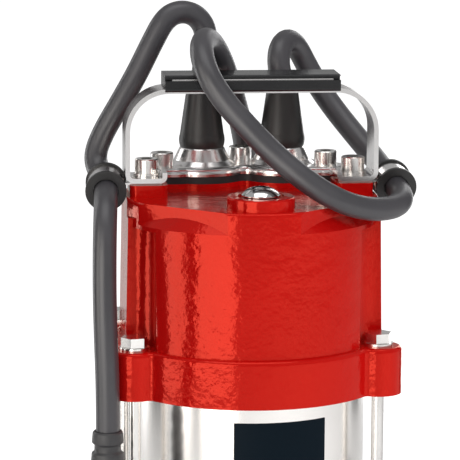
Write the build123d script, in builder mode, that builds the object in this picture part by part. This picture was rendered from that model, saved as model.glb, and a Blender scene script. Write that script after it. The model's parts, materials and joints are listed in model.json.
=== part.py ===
from build123d import *
import math
import os

# Submersible dirty-water pump, upright on its stand. Millimetres, +Z up.
# The origin is the centre of the foot ring, on the ground, on the motor axis.
# The float hangs at the left (-X), the outlet points right (+X), the cable glands sit at the rear (+Y).

os.makedirs("parts", exist_ok=True)

# ---------------------------------------------------------------- driving dimensions
FLANGE_Z = 310.0  # underside of the head flange
FLANGE_H = 26.5
FLANGE_R = 76.5
FLANGE_EDGE = 2.4
LUG_R = 13.0
BOLT_X = 67.5  # tie bolts, from the motor axis
BOLT_Y = 38.0
BODY_R = 72.8  # head casting just above the flange
BODY_TOP_R = 71.7  # the same wall at the deck, after the casting draft
BAY_R = 12.5  # bays in the wall that let a socket reach the tie bolts
BAY_BLEND = 5.0
BAY_TOP = 402.0
DECK_Z = 416.2
DECK_EDGE = 2.0
SIDE_FOOT_X = 71.2  # flat sides at the flange
SIDE_HEAD_X = 69.7  # the same sides at the deck
SIDE_TOP = 407.0
CAVITY_R = 60.0
BOSS_Y = -51.0  # vent boss at the front
BOSS_R = 18.5
BOSS_TOP = 422.6
VENT_RECESS = 0.8
FLAT_ANGLE = 40.0  # flats in the shoulder, each side of the vent boss, over a sloping ledge
FLAT_DISTANCE = 65.5
LEDGE_RIM_Z = 403.4  # where the ledge would meet a wall of radius BODY_R
PAD_TOP = 418.6  # seat of the gland plate
GASKET_H = 4.1
FOOT_PAD_Z = 422.8  # seats of the two handle feet

TUBE_R = 65.0
TUBE_T = 1.5
TUBE_FOOT = 154.0
TUBE_TOP = 316.0
BRACKET_FOOT = 130.0  # oil chamber casting under the tube
BRACKET_TOP = 160.0
CASING_FOOT = 62.0
CASING_R = 78.0
SUCTION_FOOT = 56.0
STAND_R = 86.0
OUTLET_Z = 92.0
OUTLET_X = 148.0
OUTLET_BORE = 19.0

HANDLE_X = 57.8  # handle screws
GLAND_X = 23.0
GLAND_Y = 40.0
PLATE_SCREWS = [(-46.7, 29.0), (46.7, 29.0), (0.0, 50.0)]
STRAP_T = 2.6
STRAP_W = 25.0
STRAP_X = 69.0  # middle of the strap's thickness in each leg
STRAP_TOP = 474.8
CLIP_SHEET = 1.2  # clip tab under each handle foot
GRIP_HALF = 48.5

CORD_D = 13.0
CLIP_X = 81.0  # near face of each cable clip, on its bore
CLIP_Y = -11.0
CLIP_Z = 419.5
CLIP_LENGTH = 17.0
CLIP_YAW = 4.0
CLIP_PITCH = 10.0

COIL_X = 27.0
COIL_Y = 214.5
COIL_INNER = 69.0
COIL_OUTER = 121.0
COIL_H = 52.0

BOLT_SPOTS = [(x, y) for x in (-BOLT_X, BOLT_X) for y in (-BOLT_Y, BOLT_Y)]
M8_HEAD_R = 6.5


def finish(piece, name):
    """Label one finished node and write it."""
    piece.label = name
    export_step(piece, f"parts/{name}.step")
    return piece


def turned(points, plane=Plane.XZ, axis=Axis.Z):
    """A closed profile of (radius, height) points turned once round the axis."""
    with BuildPart() as piece:
        with BuildSketch(plane):
            with BuildLine():
                Polyline(*points, close=True)
            make_face()
        revolve(axis=axis)
    return piece.part


def ring(outer, inner, foot, height, spots=((0, 0),)):
    """Flat rings standing on the height called foot, one at each spot."""
    with BuildPart() as piece:
        with BuildSketch(Plane.XY.offset(foot)):
            with Locations(*spots):
                Circle(outer)
                Circle(inner, mode=Mode.SUBTRACT)
        extrude(amount=height)
    return piece.part


def cap_screws(spots, foot, thread_r, length, head_r, head_h, socket):
    """Socket-head screws whose heads stand on the height called foot."""
    with BuildPart() as piece:
        with BuildSketch(Plane.XY.offset(foot)):
            with Locations(*spots):
                Circle(head_r)
        extrude(amount=head_h)
        chamfer(piece.edges().filter_by(GeomType.CIRCLE).group_by(Axis.Z)[-1], head_r * 0.08)
        with BuildSketch(Plane.XY.offset(foot + head_h)):
            with Locations(*spots):
                RegularPolygon(socket / 2, 6, major_radius=False)
        extrude(amount=-head_h * 0.55, mode=Mode.SUBTRACT)
        with BuildSketch(Plane.XY.offset(foot)):
            with Locations(*spots):
                Circle(thread_r)
        extrude(amount=-length)
    return piece.part


def corner_radii(points, share=0.45):
    """For each corner, the largest arc that its two runs allow."""
    radii = []
    for before, here, after in zip(points, points[1:], points[2:]):
        arriving = Vector(*here) - Vector(*before)
        leaving = Vector(*after) - Vector(*here)
        half_turn = math.radians(arriving.get_angle(leaving)) / 2
        radii.append(share * min(arriving.length, leaving.length) / math.tan(half_turn))
    return radii


def cord(points, name):
    """A round cord of straight runs and tangent arcs through the corners of its route."""
    radii = corner_radii(points)
    with BuildPart() as tube:
        with BuildLine() as route:
            FilletPolyline(*points, radius=radii)
        with BuildSketch(Plane(origin=route.line @ 0, z_dir=route.line % 0)):
            Circle(CORD_D / 2)
        sweep()
    length = sum(edge.length for edge in route.edges())
    expected = math.pi * (CORD_D / 2) ** 2 * length
    print(f"{name}: length {length:.1f}, volume ratio {tube.part.volume / expected:.4f}")
    print("  radii", [round(radius, 1) for radius in radii])
    return tube.part


def clip_axis(side):
    """Direction of a clip's bore, from its rear face to its near face."""
    yaw = math.radians(CLIP_YAW)
    pitch = math.radians(CLIP_PITCH)
    return Vector(side * math.sin(yaw) * math.cos(pitch), -math.cos(yaw) * math.cos(pitch), -math.sin(pitch))


def on_clip(side, distance):
    """Point on a clip's bore, at a distance in front of its near face."""
    point = Vector(side * CLIP_X, CLIP_Y, CLIP_Z) + clip_axis(side) * distance
    return (point.X, point.Y, point.Z)


# ---------------------------------------------------------------- head casting
plate_lobes = [(-GLAND_X, GLAND_Y), (GLAND_X, GLAND_Y)]


def plate_outline(grow):
    """Outline of the gland plate: a lobe round each gland and an ear round each screw."""
    with BuildSketch(mode=Mode.PRIVATE) as outline:
        with Locations(*plate_lobes):
            Circle(24.5)
        with Locations(*PLATE_SCREWS):
            Circle(13)
        with Locations((-40, 33), (40, 33)):
            Circle(16.5)
        offset(amount=5)
        offset(amount=-5)
        if grow:
            offset(amount=grow)
    return outline.sketch


pad_outline = plate_outline(0)
gasket_outline = plate_outline(-0.8)

# A flat and the ledge under it are what is left outside this cutter's cone.
ledge_cone = [
    (0, LEDGE_RIM_Z - 60),
    (BODY_R + 60, LEDGE_RIM_Z - 60),
    (BODY_R, LEDGE_RIM_Z),
    (BODY_R - 30, LEDGE_RIM_Z + 30),
    (0, LEDGE_RIM_Z + 30),
]
with BuildPart() as draft_wedge:
    with BuildSketch(Plane.XZ):
        with BuildLine():
            Polyline(
                (BODY_TOP_R - DECK_EDGE, DECK_Z),
                (BODY_TOP_R - DECK_EDGE, DECK_Z + 1),
                (BODY_R + 5, DECK_Z + 1),
                (BODY_R + 5, FLANGE_Z + FLANGE_H),
                (BODY_R, FLANGE_Z + FLANGE_H),
                (BODY_TOP_R, DECK_Z - DECK_EDGE),
            )
            ThreePointArc(
                (BODY_TOP_R, DECK_Z - DECK_EDGE),
                (BODY_TOP_R - DECK_EDGE * 0.293, DECK_Z - DECK_EDGE * 0.293),
                (BODY_TOP_R - DECK_EDGE, DECK_Z),
            )
        make_face()
    revolve(axis=Axis.Z)
with BuildPart() as shoulder_cutter:
    for turn in (-FLAT_ANGLE, FLAT_ANGLE):
        outward = Vector(math.sin(math.radians(turn)), -math.cos(math.radians(turn)), 0)
        flat = Plane(origin=outward * FLAT_DISTANCE + Vector(0, 0, LEDGE_RIM_Z - 10), z_dir=outward)
        with BuildSketch(flat):
            with Locations(flat.to_local_coords(flat.origin + Vector(0, 0, 20))):
                Rectangle(90, 90)
        extrude(amount=30)
    add(turned(ledge_cone), mode=Mode.SUBTRACT)

with BuildPart() as head_cover:
    with BuildSketch(Plane.XY.offset(FLANGE_Z)):
        Circle(FLANGE_R)
        with Locations(*BOLT_SPOTS):
            Circle(LUG_R)
        offset(amount=3)
        offset(amount=-3)
    extrude(amount=FLANGE_H)
    fillet(head_cover.edges().filter_by(Plane.XY).group_by(Axis.Z)[-1], FLANGE_EDGE)
    # Drafted wall with its wrench bays, up to the rounded edge of the deck.
    with BuildSketch(Plane.XY.offset(FLANGE_Z + FLANGE_H - 2)):
        Circle(BODY_R)
        with Locations(*BOLT_SPOTS):
            Circle(BAY_R, mode=Mode.SUBTRACT)
        fillet(vertices(), BAY_BLEND)
    extrude(amount=BAY_TOP - FLANGE_Z - FLANGE_H + 2)
    with BuildSketch(Plane.XY.offset(BAY_TOP)):
        Circle(BODY_R)
    extrude(amount=DECK_Z - BAY_TOP)
    add(draft_wedge.part, mode=Mode.SUBTRACT)
    add(shoulder_cutter.part, mode=Mode.SUBTRACT)
    # Flat sides that carry the handle feet, drafted like the wall.
    with BuildSketch(Plane.XY.offset(FLANGE_Z + FLANGE_H - 2)):
        Rectangle(2 * SIDE_FOOT_X, 58)
        with Locations(*BOLT_SPOTS):
            Circle(BAY_R, mode=Mode.SUBTRACT)
    extrude(amount=SIDE_TOP - FLANGE_Z - FLANGE_H + 2)
    for side in (-1, 1):
        with BuildSketch(Plane.XZ):
            with BuildLine():
                Polyline(
                    (side * SIDE_FOOT_X, FLANGE_Z + FLANGE_H),
                    (side * (SIDE_FOOT_X + 20), FLANGE_Z + FLANGE_H),
                    (side * (SIDE_FOOT_X + 20), DECK_Z + 2),
                    (side * SIDE_HEAD_X, DECK_Z + 2),
                    close=True,
                )
            make_face()
        extrude(amount=40, both=True, mode=Mode.SUBTRACT)
    # Pads of the handle feet, vent boss and the pad of the gland plate.
    with BuildSketch(Plane.XY.offset(DECK_Z - 8)):
        with Locations((0.5 - HANDLE_X, 0), (HANDLE_X - 0.5, 0)):
            RectangleRounded(21, 27, 4)
    extrude(amount=FOOT_PAD_Z - DECK_Z + 8)
    with BuildSketch(Plane.XY.offset(DECK_Z - 12)):
        with Locations((0, BOSS_Y)):
            Circle(BOSS_R)
    extrude(amount=BOSS_TOP - DECK_Z + 12)
    fillet(head_cover.edges().filter_by(GeomType.CIRCLE).filter_by_position(Axis.Z, BOSS_TOP, BOSS_TOP), 0.9)
    with BuildSketch(Plane.XY.offset(DECK_Z - 8)):
        add(pad_outline)
    extrude(amount=PAD_TOP - DECK_Z + 8)
    # Hollow for the wiring, and the seat of the motor tube.
    with BuildSketch(Plane.XZ):
        with BuildLine():
            Polyline(
                (0, FLANGE_Z - 1),
                (TUBE_R + 0.1, FLANGE_Z - 1),
                (TUBE_R + 0.1, TUBE_TOP + 0.8),
                (CAVITY_R, TUBE_TOP + 0.8),
                (CAVITY_R, FLANGE_Z + 82),
                (CAVITY_R - 16, DECK_Z - 8.5),
                (0, DECK_Z - 8.5),
                close=True,
            )
        make_face()
    revolve(axis=Axis.Z, mode=Mode.SUBTRACT)
    with BuildSketch(Plane.XY.offset(FLANGE_Z)):
        with Locations(*BOLT_SPOTS):
            Circle(4.4)
    extrude(amount=FLANGE_H, mode=Mode.SUBTRACT)
    with BuildSketch(Plane.XY.offset(FOOT_PAD_Z)):
        with Locations((-HANDLE_X, 0), (HANDLE_X, 0)):
            Circle(4.05)
    extrude(amount=-19, mode=Mode.SUBTRACT)
    with BuildSketch(Plane.XY.offset(PAD_TOP)):
        with Locations(*PLATE_SCREWS):
            Circle(4.05)
    extrude(amount=-11, mode=Mode.SUBTRACT)
    with BuildSketch(Plane.XY.offset(PAD_TOP)):
        with Locations(*plate_lobes):
            Circle(9)
    extrude(amount=-20, mode=Mode.SUBTRACT)
    with BuildSketch(Plane.XY.offset(BOSS_TOP)):
        with Locations((0, BOSS_Y)):
            Circle(12.6)
    extrude(amount=-VENT_RECESS, mode=Mode.SUBTRACT)
    with BuildSketch(Plane.XY.offset(BOSS_TOP)):
        with Locations((0, BOSS_Y)):
            Circle(5.05)
    extrude(amount=-22, mode=Mode.SUBTRACT)
    # Room for the cable clips beside the wall.
    for side in (-1, 1):
        with BuildSketch(Plane(origin=on_clip(side, 3), z_dir=-clip_axis(side))):
            Circle(11.8)
        extrude(amount=CLIP_LENGTH + 6, mode=Mode.SUBTRACT)
finish(head_cover.part, "head_cover")

# ---------------------------------------------------------------- gland plate, gasket and boots
with BuildPart() as gland_gasket:
    with BuildSketch(Plane.XY.offset(PAD_TOP)):
        add(gasket_outline)
        with Locations(*plate_lobes):
            Circle(12, mode=Mode.SUBTRACT)
        with Locations(*PLATE_SCREWS):
            Circle(4.3, mode=Mode.SUBTRACT)
    extrude(amount=GASKET_H)
finish(gland_gasket.part, "gland_gasket")

PLATE_FOOT = PAD_TOP + GASKET_H
PLATE_H = 4.6
COLLAR_TOP = FLANGE_Z + 126.7
with BuildPart() as gland_plate:
    with BuildSketch(Plane.XY.offset(PLATE_FOOT)):
        add(pad_outline)
    extrude(amount=PLATE_H)
    fillet(gland_plate.edges().group_by(Axis.Z)[-1], 3.2)
    for side in (-GLAND_X, GLAND_X):
        with BuildSketch(Plane.XZ.offset(-GLAND_Y)):
            with BuildLine():
                Polyline(
                    (side, PLATE_FOOT + 1),
                    (side + 18.5, PLATE_FOOT + 1),
                    (side + 18.5, PLATE_FOOT + PLATE_H),
                    (side + 16, PLATE_FOOT + PLATE_H + 2.4),
                    (side + 12.9, COLLAR_TOP - 0.6),
                    (side + 12.3, COLLAR_TOP),
                    (side, COLLAR_TOP),
                    close=True,
                )
            make_face()
        revolve(axis=Axis((side, GLAND_Y, 0), (0, 0, 1)))
    with BuildSketch(Plane.XY.offset(PLATE_FOOT)):
        with Locations(*plate_lobes):
            Circle(11)
    extrude(amount=COLLAR_TOP - PLATE_FOOT, mode=Mode.SUBTRACT)
    with BuildSketch(Plane.XY.offset(PLATE_FOOT)):
        with Locations(*PLATE_SCREWS):
            Circle(4.3)
    extrude(amount=PLATE_H, mode=Mode.SUBTRACT)
finish(gland_plate.part, "gland_plate")
finish(cap_screws(PLATE_SCREWS, PLATE_FOOT + PLATE_H, 4, 17, M8_HEAD_R, 8, 6), "plate_screws")

BOOT_TOP = FLANGE_Z + 158
for name, side in (("boot_float", -GLAND_X), ("boot_mains", GLAND_X)):
    with BuildPart() as boot:
        with BuildSketch(Plane.XZ.offset(-GLAND_Y)):
            with BuildLine():
                Polyline(
                    (side, PLATE_FOOT + 0.5),
                    (side + 10.9, PLATE_FOOT + 0.5),
                    (side + 10.9, COLLAR_TOP),
                    (side + 12.3, COLLAR_TOP),
                )
                boot_foot = (side + 12.3, COLLAR_TOP)
                boot_shoulder = (side + 12.5, COLLAR_TOP + 7.5)
                Spline(boot_foot, (side + 13, COLLAR_TOP + 3), boot_shoulder)
                Polyline(boot_shoulder, (side + 9.1, BOOT_TOP), (side, BOOT_TOP))
                Line((side, BOOT_TOP), (side, PLATE_FOOT + 0.5))
            make_face()
        revolve(axis=Axis((side, GLAND_Y, 0), (0, 0, 1)))
    finish(boot.part, name)

# ---------------------------------------------------------------- vent plug
VENT_SEAT = BOSS_TOP - VENT_RECESS
with BuildPart() as vent_plug:
    with BuildSketch(Plane.XZ.offset(-BOSS_Y)):
        with BuildLine():
            Polyline((0, VENT_SEAT + 1), (0, VENT_SEAT - 12), (5, VENT_SEAT - 12), (5, VENT_SEAT + 1))
            Polyline((5, VENT_SEAT + 1), (10.5, VENT_SEAT + 1), (10.5, VENT_SEAT + 1.6))
            ThreePointArc((10.5, VENT_SEAT + 1.6), (7.2, VENT_SEAT + 4.6), (3, VENT_SEAT + 5.9))
            Polyline((3, VENT_SEAT + 5.9), (3, VENT_SEAT + 3.4), (0, VENT_SEAT + 3.4), (0, VENT_SEAT + 1))
        make_face()
    revolve(axis=Axis((0, BOSS_Y, 0), (0, 0, 1)))
finish(vent_plug.part, "vent_plug")
finish(ring(9.4, 5.2, VENT_SEAT, 1, [(0, BOSS_Y)]), "vent_plug_seal")

# ---------------------------------------------------------------- handle
FOOT_Z = FOOT_PAD_Z + CLIP_SHEET + STRAP_T / 2
foot_end = 48.6
strap_route = [
    (-foot_end, 0, FOOT_Z + 4.5),
    (-foot_end, 0, FOOT_Z),
    (-STRAP_X, 0, FOOT_Z),
    (-STRAP_X, 0, STRAP_TOP),
    (STRAP_X, 0, STRAP_TOP),
    (STRAP_X, 0, FOOT_Z),
    (foot_end, 0, FOOT_Z),
    (foot_end, 0, FOOT_Z + 4.5),
]
FLANGE_TOP = STRAP_TOP + 6.5  # stiffening flange along the front of the handle
with BuildPart() as handle_strap:
    with BuildLine() as strap_line:
        FilletPolyline(*strap_route, radius=[2.2, 3.8, 23, 23, 3.8, 2.2])
    with BuildSketch(Plane(origin=strap_line.line @ 0, x_dir=(0, 1, 0), z_dir=strap_line.line % 0)):
        Rectangle(STRAP_W, STRAP_T)
    sweep()
    with BuildSketch(Plane.XZ.offset(STRAP_W / 2)):
        with Locations((0, (STRAP_TOP + FLANGE_TOP) / 2)):
            Rectangle(2 * GRIP_HALF - 8, FLANGE_TOP - STRAP_TOP)
    extrude(amount=-1.8)
    with BuildSketch(Plane.XY.offset(FOOT_Z - STRAP_T)):
        with Locations((-HANDLE_X, 0), (HANDLE_X, 0)):
            Circle(4.4)
    extrude(amount=2 * STRAP_T, mode=Mode.SUBTRACT)
finish(handle_strap.part, "handle_strap")

with BuildPart() as handle_grip:
    with BuildSketch(Plane.YZ.offset(-GRIP_HALF)):
        with Locations((0, STRAP_TOP + 4.1)):
            RectangleRounded(29, 9.0, 1.4)
        with Locations((0, STRAP_TOP - 0.1)):
            Rectangle(STRAP_W + 0.2, STRAP_T + 0.2, mode=Mode.SUBTRACT)
        with Locations((-STRAP_W / 2 + 0.9, STRAP_TOP + 5)):
            Rectangle(2.2, 10, mode=Mode.SUBTRACT)
        with Locations((-14, STRAP_TOP + 7)):
            Rectangle(3, 2.4, mode=Mode.SUBTRACT)
    extrude(amount=2 * GRIP_HALF)
finish(handle_grip.part, "handle_grip")

HANDLE_SPOTS = [(-HANDLE_X, 0), (HANDLE_X, 0)]
WASHER_Z = FOOT_Z + STRAP_T / 2
finish(ring(7.4, 4.3, WASHER_Z, 1.6, HANDLE_SPOTS), "handle_washers")
finish(cap_screws(HANDLE_SPOTS, WASHER_Z + 1.6, 4, 22, M8_HEAD_R, 8, 6), "handle_screws")


# ---------------------------------------------------------------- cable clips
linings = []
bands = []
for side in (-1, 1):
    near_face = Plane(origin=on_clip(side, 0), z_dir=-clip_axis(side))
    with BuildPart() as lining:
        for foot, outer, height in ((0, 11.4, 2.2), (2.2, 9.2, 12.6), (14.8, 11.4, 2.2)):
            with BuildSketch(near_face.offset(foot)):
                Circle(outer)
            extrude(amount=height)
        with BuildSketch(near_face):
            Circle(7)
        extrude(amount=CLIP_LENGTH, mode=Mode.SUBTRACT)
    linings.append(lining.part)
    with BuildPart() as band:
        with BuildSketch(near_face.offset(2.4)):
            Circle(10.4)
        extrude(amount=12.2)
        with BuildSketch(Plane.XY.offset(FOOT_PAD_Z)):
            with Locations((side * 61.5, -3.5)):
                Rectangle(23, 11.4)
        extrude(amount=CLIP_SHEET)
        with BuildSketch(near_face):
            Circle(9.25)
        extrude(amount=CLIP_LENGTH, mode=Mode.SUBTRACT)
        with BuildSketch(Plane.XY.offset(FOOT_PAD_Z)):
            with Locations((side * HANDLE_X, 0)):
                Circle(4.4)
        extrude(amount=CLIP_SHEET, mode=Mode.SUBTRACT)
    bands.append(band.part)
finish(Compound(children=linings), "clip_linings")
finish(Compound(children=bands), "clip_bands")

# ---------------------------------------------------------------- motor tube and tie bolts
finish(ring(TUBE_R, TUBE_R - TUBE_T, TUBE_FOOT, TUBE_TOP - TUBE_FOOT), "motor_tube")
finish(ring(TUBE_R, CAVITY_R + 0.5, TUBE_TOP, 0.8), "tube_seal_upper")
finish(ring(TUBE_R, CAVITY_R + 0.5, TUBE_FOOT - 0.8, 0.8), "tube_seal_lower")

LABEL_TOP = FLANGE_Z - 10
LABEL_H = 68.0
with BuildPart() as rating_label:
    with BuildSketch(Plane.XY.offset(LABEL_TOP - LABEL_H)):
        Circle(TUBE_R + 0.4)
        Circle(TUBE_R, mode=Mode.SUBTRACT)
        with Locations((10.2, -TUBE_R)):
            Rectangle(51, 90, mode=Mode.INTERSECT)
    extrude(amount=LABEL_H)
finish(rating_label.part, "rating_label")

LUG_TOP = FLANGE_Z + FLANGE_H
TIE_FOOT = 104.0
finish(ring(8, 4.3, LUG_TOP, 1.6, BOLT_SPOTS), "tie_washers")
with BuildPart() as tie_bolts:
    with BuildSketch(Plane.XY.offset(LUG_TOP + 1.6)):
        with Locations(*BOLT_SPOTS):
            RegularPolygon(6.5, 6, major_radius=False, rotation=12)
    extrude(amount=5.4)
    with BuildSketch(Plane.XY.offset(LUG_TOP + 1.6)):
        with Locations(*BOLT_SPOTS):
            Circle(4)
    extrude(amount=-20)
    with BuildSketch(Plane.XY.offset(LUG_TOP - 18.4)):
        with Locations(*BOLT_SPOTS):
            Circle(3.4)
    extrude(amount=TIE_FOOT + 26 - LUG_TOP + 18.4)
    with BuildSketch(Plane.XY.offset(TIE_FOOT)):
        with Locations(*BOLT_SPOTS):
            Circle(4)
    extrude(amount=26)
finish(tie_bolts.part, "tie_bolts")

# ---------------------------------------------------------------- motor
CORE_FOOT = 190.0
CORE_H = 75.0
with BuildPart() as stator_core:
    with BuildSketch(Plane.XY.offset(CORE_FOOT)):
        Circle(TUBE_R - TUBE_T - 0.05)
        Circle(33, mode=Mode.SUBTRACT)
        with PolarLocations(42, 18):
            SlotOverall(16, 6, mode=Mode.SUBTRACT)
    extrude(amount=CORE_H)
finish(stator_core.part, "stator_core")
with BuildPart() as stator_windings:
    for foot in (CORE_FOOT - 20, CORE_FOOT + CORE_H + 0.3):
        with BuildSketch(Plane.XY.offset(foot)):
            Circle(55)
            Circle(36, mode=Mode.SUBTRACT)
        extrude(amount=19.7)
    fillet(stator_windings.edges().filter_by(GeomType.CIRCLE), 4)
finish(stator_windings.part, "stator_windings")
finish(ring(32.4, 10, CORE_FOOT, CORE_H), "rotor_core")

SHAFT_TOP = FLANGE_Z + 12
BEARING_H = 12.0
LOWER_BEARING = BRACKET_TOP - BEARING_H
UPPER_BEARING = FLANGE_Z - 2
shaft_profile = [
    (0, 58),
    (6, 58),
    (6, 80),
    (7, 80),
    (7, 116),
    (8.5, 116),
    (8.5, BRACKET_TOP),
    (10, BRACKET_TOP),
    (10, UPPER_BEARING - 1),
    (8.5, UPPER_BEARING - 1),
    (8.5, SHAFT_TOP),
    (0, SHAFT_TOP),
]
finish(turned(shaft_profile), "shaft")

outer_rings = []
inner_rings = []
with BuildPart() as bearing_balls:
    for foot in (LOWER_BEARING, UPPER_BEARING):
        outer_rings.append(ring(20, 16.65, foot, BEARING_H))
        inner_rings.append(ring(11.85, 8.5, foot, BEARING_H))
        with Locations((0, 0, foot + BEARING_H / 2)):
            with PolarLocations(14.25, 9):
                Sphere(2.3)
finish(Compound(children=outer_rings), "bearing_outer_rings")
finish(Compound(children=inner_rings), "bearing_inner_rings")
finish(bearing_balls.part, "bearing_balls")

bracket_profile = [
    (20.02, UPPER_BEARING + BEARING_H),
    (20.02, UPPER_BEARING),
    (13, UPPER_BEARING),
    (13, UPPER_BEARING - 3),
    (24, UPPER_BEARING - 3),
    (24, FLANGE_Z - 12),
    (CAVITY_R + 1, FLANGE_Z - 12),
    (CAVITY_R + 1, FLANGE_Z - 4),
    (27, FLANGE_Z - 4),
    (25, UPPER_BEARING + BEARING_H),
]
with BuildPart() as upper_bracket:
    add(turned(bracket_profile))
    with BuildSketch(Plane.XY.offset(FLANGE_Z - 12)):
        with PolarLocations(45, 6):
            Circle(8)
    extrude(amount=8, mode=Mode.SUBTRACT)
finish(upper_bracket.part, "upper_bracket")

with BuildPart() as capacitor:
    with BuildSketch(Plane.XY.offset(FLANGE_Z + 24)):
        with Locations((18, 22)):
            Circle(18)
    extrude(amount=62)
    fillet(capacitor.edges().filter_by(GeomType.CIRCLE), 2)
finish(capacitor.part, "capacitor")
with BuildPart() as terminal_block:
    with BuildSketch(Plane.XY.offset(FLANGE_Z + 40)):
        with Locations((-22, 14)):
            RectangleRounded(34, 18, 2)
    extrude(amount=16)
    with BuildSketch(Plane.XY.offset(FLANGE_Z + 56)):
        with Locations((-22, 14)):
            with GridLocations(10, 1, 3, 1):
                Circle(3)
    extrude(amount=-6, mode=Mode.SUBTRACT)
finish(terminal_block.part, "terminal_block")

# ---------------------------------------------------------------- oil chamber and shaft seals
bracket_section = [
    (20.02, BRACKET_TOP),
    (20.02, LOWER_BEARING),
    (12.5, LOWER_BEARING),
    (12.5, LOWER_BEARING - 2),
    (16, LOWER_BEARING - 2),
    (16, BRACKET_FOOT),
    (FLANGE_R, BRACKET_FOOT),
    (FLANGE_R, BRACKET_TOP),
    (TUBE_R + 0.1, BRACKET_TOP),
    (TUBE_R + 0.1, TUBE_FOOT - 0.8),
    (CAVITY_R, TUBE_FOOT - 0.8),
    (28, TUBE_FOOT - 0.8),
    (24, BRACKET_TOP),
]
with BuildPart() as oil_chamber:
    add(turned(bracket_section))
    with BuildSketch(Plane.XY.offset(BRACKET_FOOT)):
        with Locations(*BOLT_SPOTS):
            Circle(LUG_R)
        Circle(TUBE_R + 5, mode=Mode.SUBTRACT)
    extrude(amount=BRACKET_TOP - BRACKET_FOOT)
    add(turned([(24, 136), (56, 136), (56, 147), (24, 147)]), mode=Mode.SUBTRACT)
    with BuildSketch(Plane.XY.offset(BRACKET_FOOT)):
        with Locations(*BOLT_SPOTS):
            Circle(4.4)
    extrude(amount=BRACKET_TOP - BRACKET_FOOT, mode=Mode.SUBTRACT)
    with BuildSketch(Plane.XZ.offset(FLANGE_R + 1)):
        with Locations((0, 141.5)):
            Circle(4.05)
    extrude(amount=-30, mode=Mode.SUBTRACT)
finish(oil_chamber.part, "oil_chamber")
with BuildPart() as oil_plug:
    with BuildSketch(Plane.XZ.offset(FLANGE_R)):
        with Locations((0, 141.5)):
            Circle(7)
    extrude(amount=4.5)
    with BuildSketch(Plane.XZ.offset(FLANGE_R + 4.5)):
        with Locations((0, 141.5)):
            RegularPolygon(2.5, 6, major_radius=False)
    extrude(amount=-3, mode=Mode.SUBTRACT)
    with BuildSketch(Plane.XZ.offset(FLANGE_R)):
        with Locations((0, 141.5)):
            Circle(4)
    extrude(amount=-11)
finish(oil_plug.part, "oil_plug")

finish(turned([(8.9, 139), (16, 139), (16, 145), (10.5, 145), (8.9, 142)]), "shaft_lip_seal")
finish(ring(16, 9.4, BRACKET_FOOT, 7), "seal_seat")
finish(ring(14, 8.55, BRACKET_FOOT - 4.3, 4), "seal_face")
finish(turned([(8.55, 116.5), (11, 116.5), (12.8, 119), (12.8, 125.7), (8.55, 125.7)]), "seal_bellows")

# ---------------------------------------------------------------- pump end
with BuildPart() as volute_casing:
    with BuildSketch(Plane.XY.offset(CASING_FOOT)):
        Circle(CASING_R)
        with Locations((7, 5)):
            Circle(77)
    extrude(amount=BRACKET_FOOT - 8 - CASING_FOOT)
    fillet(volute_casing.edges().group_by(Axis.Z)[-1], 5)
    with BuildSketch(Plane.XY.offset(CASING_FOOT + 40)):
        Circle(FLANGE_R)
        with Locations(*BOLT_SPOTS):
            Circle(LUG_R)
    extrude(amount=BRACKET_FOOT - CASING_FOOT - 40)
    with BuildSketch(Plane.YZ.offset(60)):
        with Locations((0, OUTLET_Z)):
            Circle(25)
    extrude(amount=42)
    with BuildSketch(Plane.YZ.offset(102)):
        with Locations((0, OUTLET_Z)):
            Circle(27)
            with Locations((-33, 0), (33, 0)):
                Circle(9)
            Rectangle(66, 18)
    extrude(amount=8)
    # Pump chamber, its top opening, the inlet side and the outlet bore.
    with BuildSketch(Plane.XY.offset(CASING_FOOT)):
        Circle(61)
        with Locations((6, 4)):
            Circle(60)
    extrude(amount=54, mode=Mode.SUBTRACT)
    with BuildSketch(Plane.XY.offset(CASING_FOOT)):
        Circle(45)
    extrude(amount=BRACKET_FOOT - CASING_FOOT, mode=Mode.SUBTRACT)
    with BuildSketch(Plane.YZ.offset(30)):
        with Locations((0, OUTLET_Z)):
            Circle(OUTLET_BORE)
    extrude(amount=80, mode=Mode.SUBTRACT)
    with BuildSketch(Plane.XY.offset(TIE_FOOT - 1)):
        with Locations(*BOLT_SPOTS):
            Circle(4.05)
    extrude(amount=40, mode=Mode.SUBTRACT)
    with BuildSketch(Plane.XY.offset(CASING_FOOT)):
        with PolarLocations(69, 4):
            Circle(3.05)
    extrude(amount=15, mode=Mode.SUBTRACT)
    with BuildSketch(Plane.YZ.offset(110)):
        with Locations((-33, OUTLET_Z), (33, OUTLET_Z)):
            Circle(4.05)
    extrude(amount=-8, mode=Mode.SUBTRACT)
finish(volute_casing.part, "volute_casing")

with BuildPart() as suction_plate:
    with BuildSketch(Plane.XY.offset(SUCTION_FOOT)):
        Circle(76)
        Circle(24, mode=Mode.SUBTRACT)
        with PolarLocations(24, 8):
            Circle(4, mode=Mode.SUBTRACT)
        with PolarLocations(69, 4):
            Circle(3.2, mode=Mode.SUBTRACT)
    extrude(amount=CASING_FOOT - SUCTION_FOOT)
finish(suction_plate.part, "suction_plate")

vane_curve = Edge.make_three_point_arc((11, 0, 0), (33, 9, 0), (49, 30, 0))
with BuildPart() as impeller:
    with BuildSketch(Plane.XY.offset(104)):
        Circle(54)
    extrude(amount=6)
    with BuildSketch(Plane.XY.offset(80)):
        Circle(14)
    extrude(amount=34)
    with BuildSketch(Plane.XY.offset(84)):
        with PolarLocations(0, 6):
            SlotArc(vane_curve, 4.5)
    extrude(amount=21)
    with BuildSketch(Plane.XY.offset(80)):
        Circle(7)
    extrude(amount=34, mode=Mode.SUBTRACT)
finish(impeller.part, "impeller")

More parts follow.
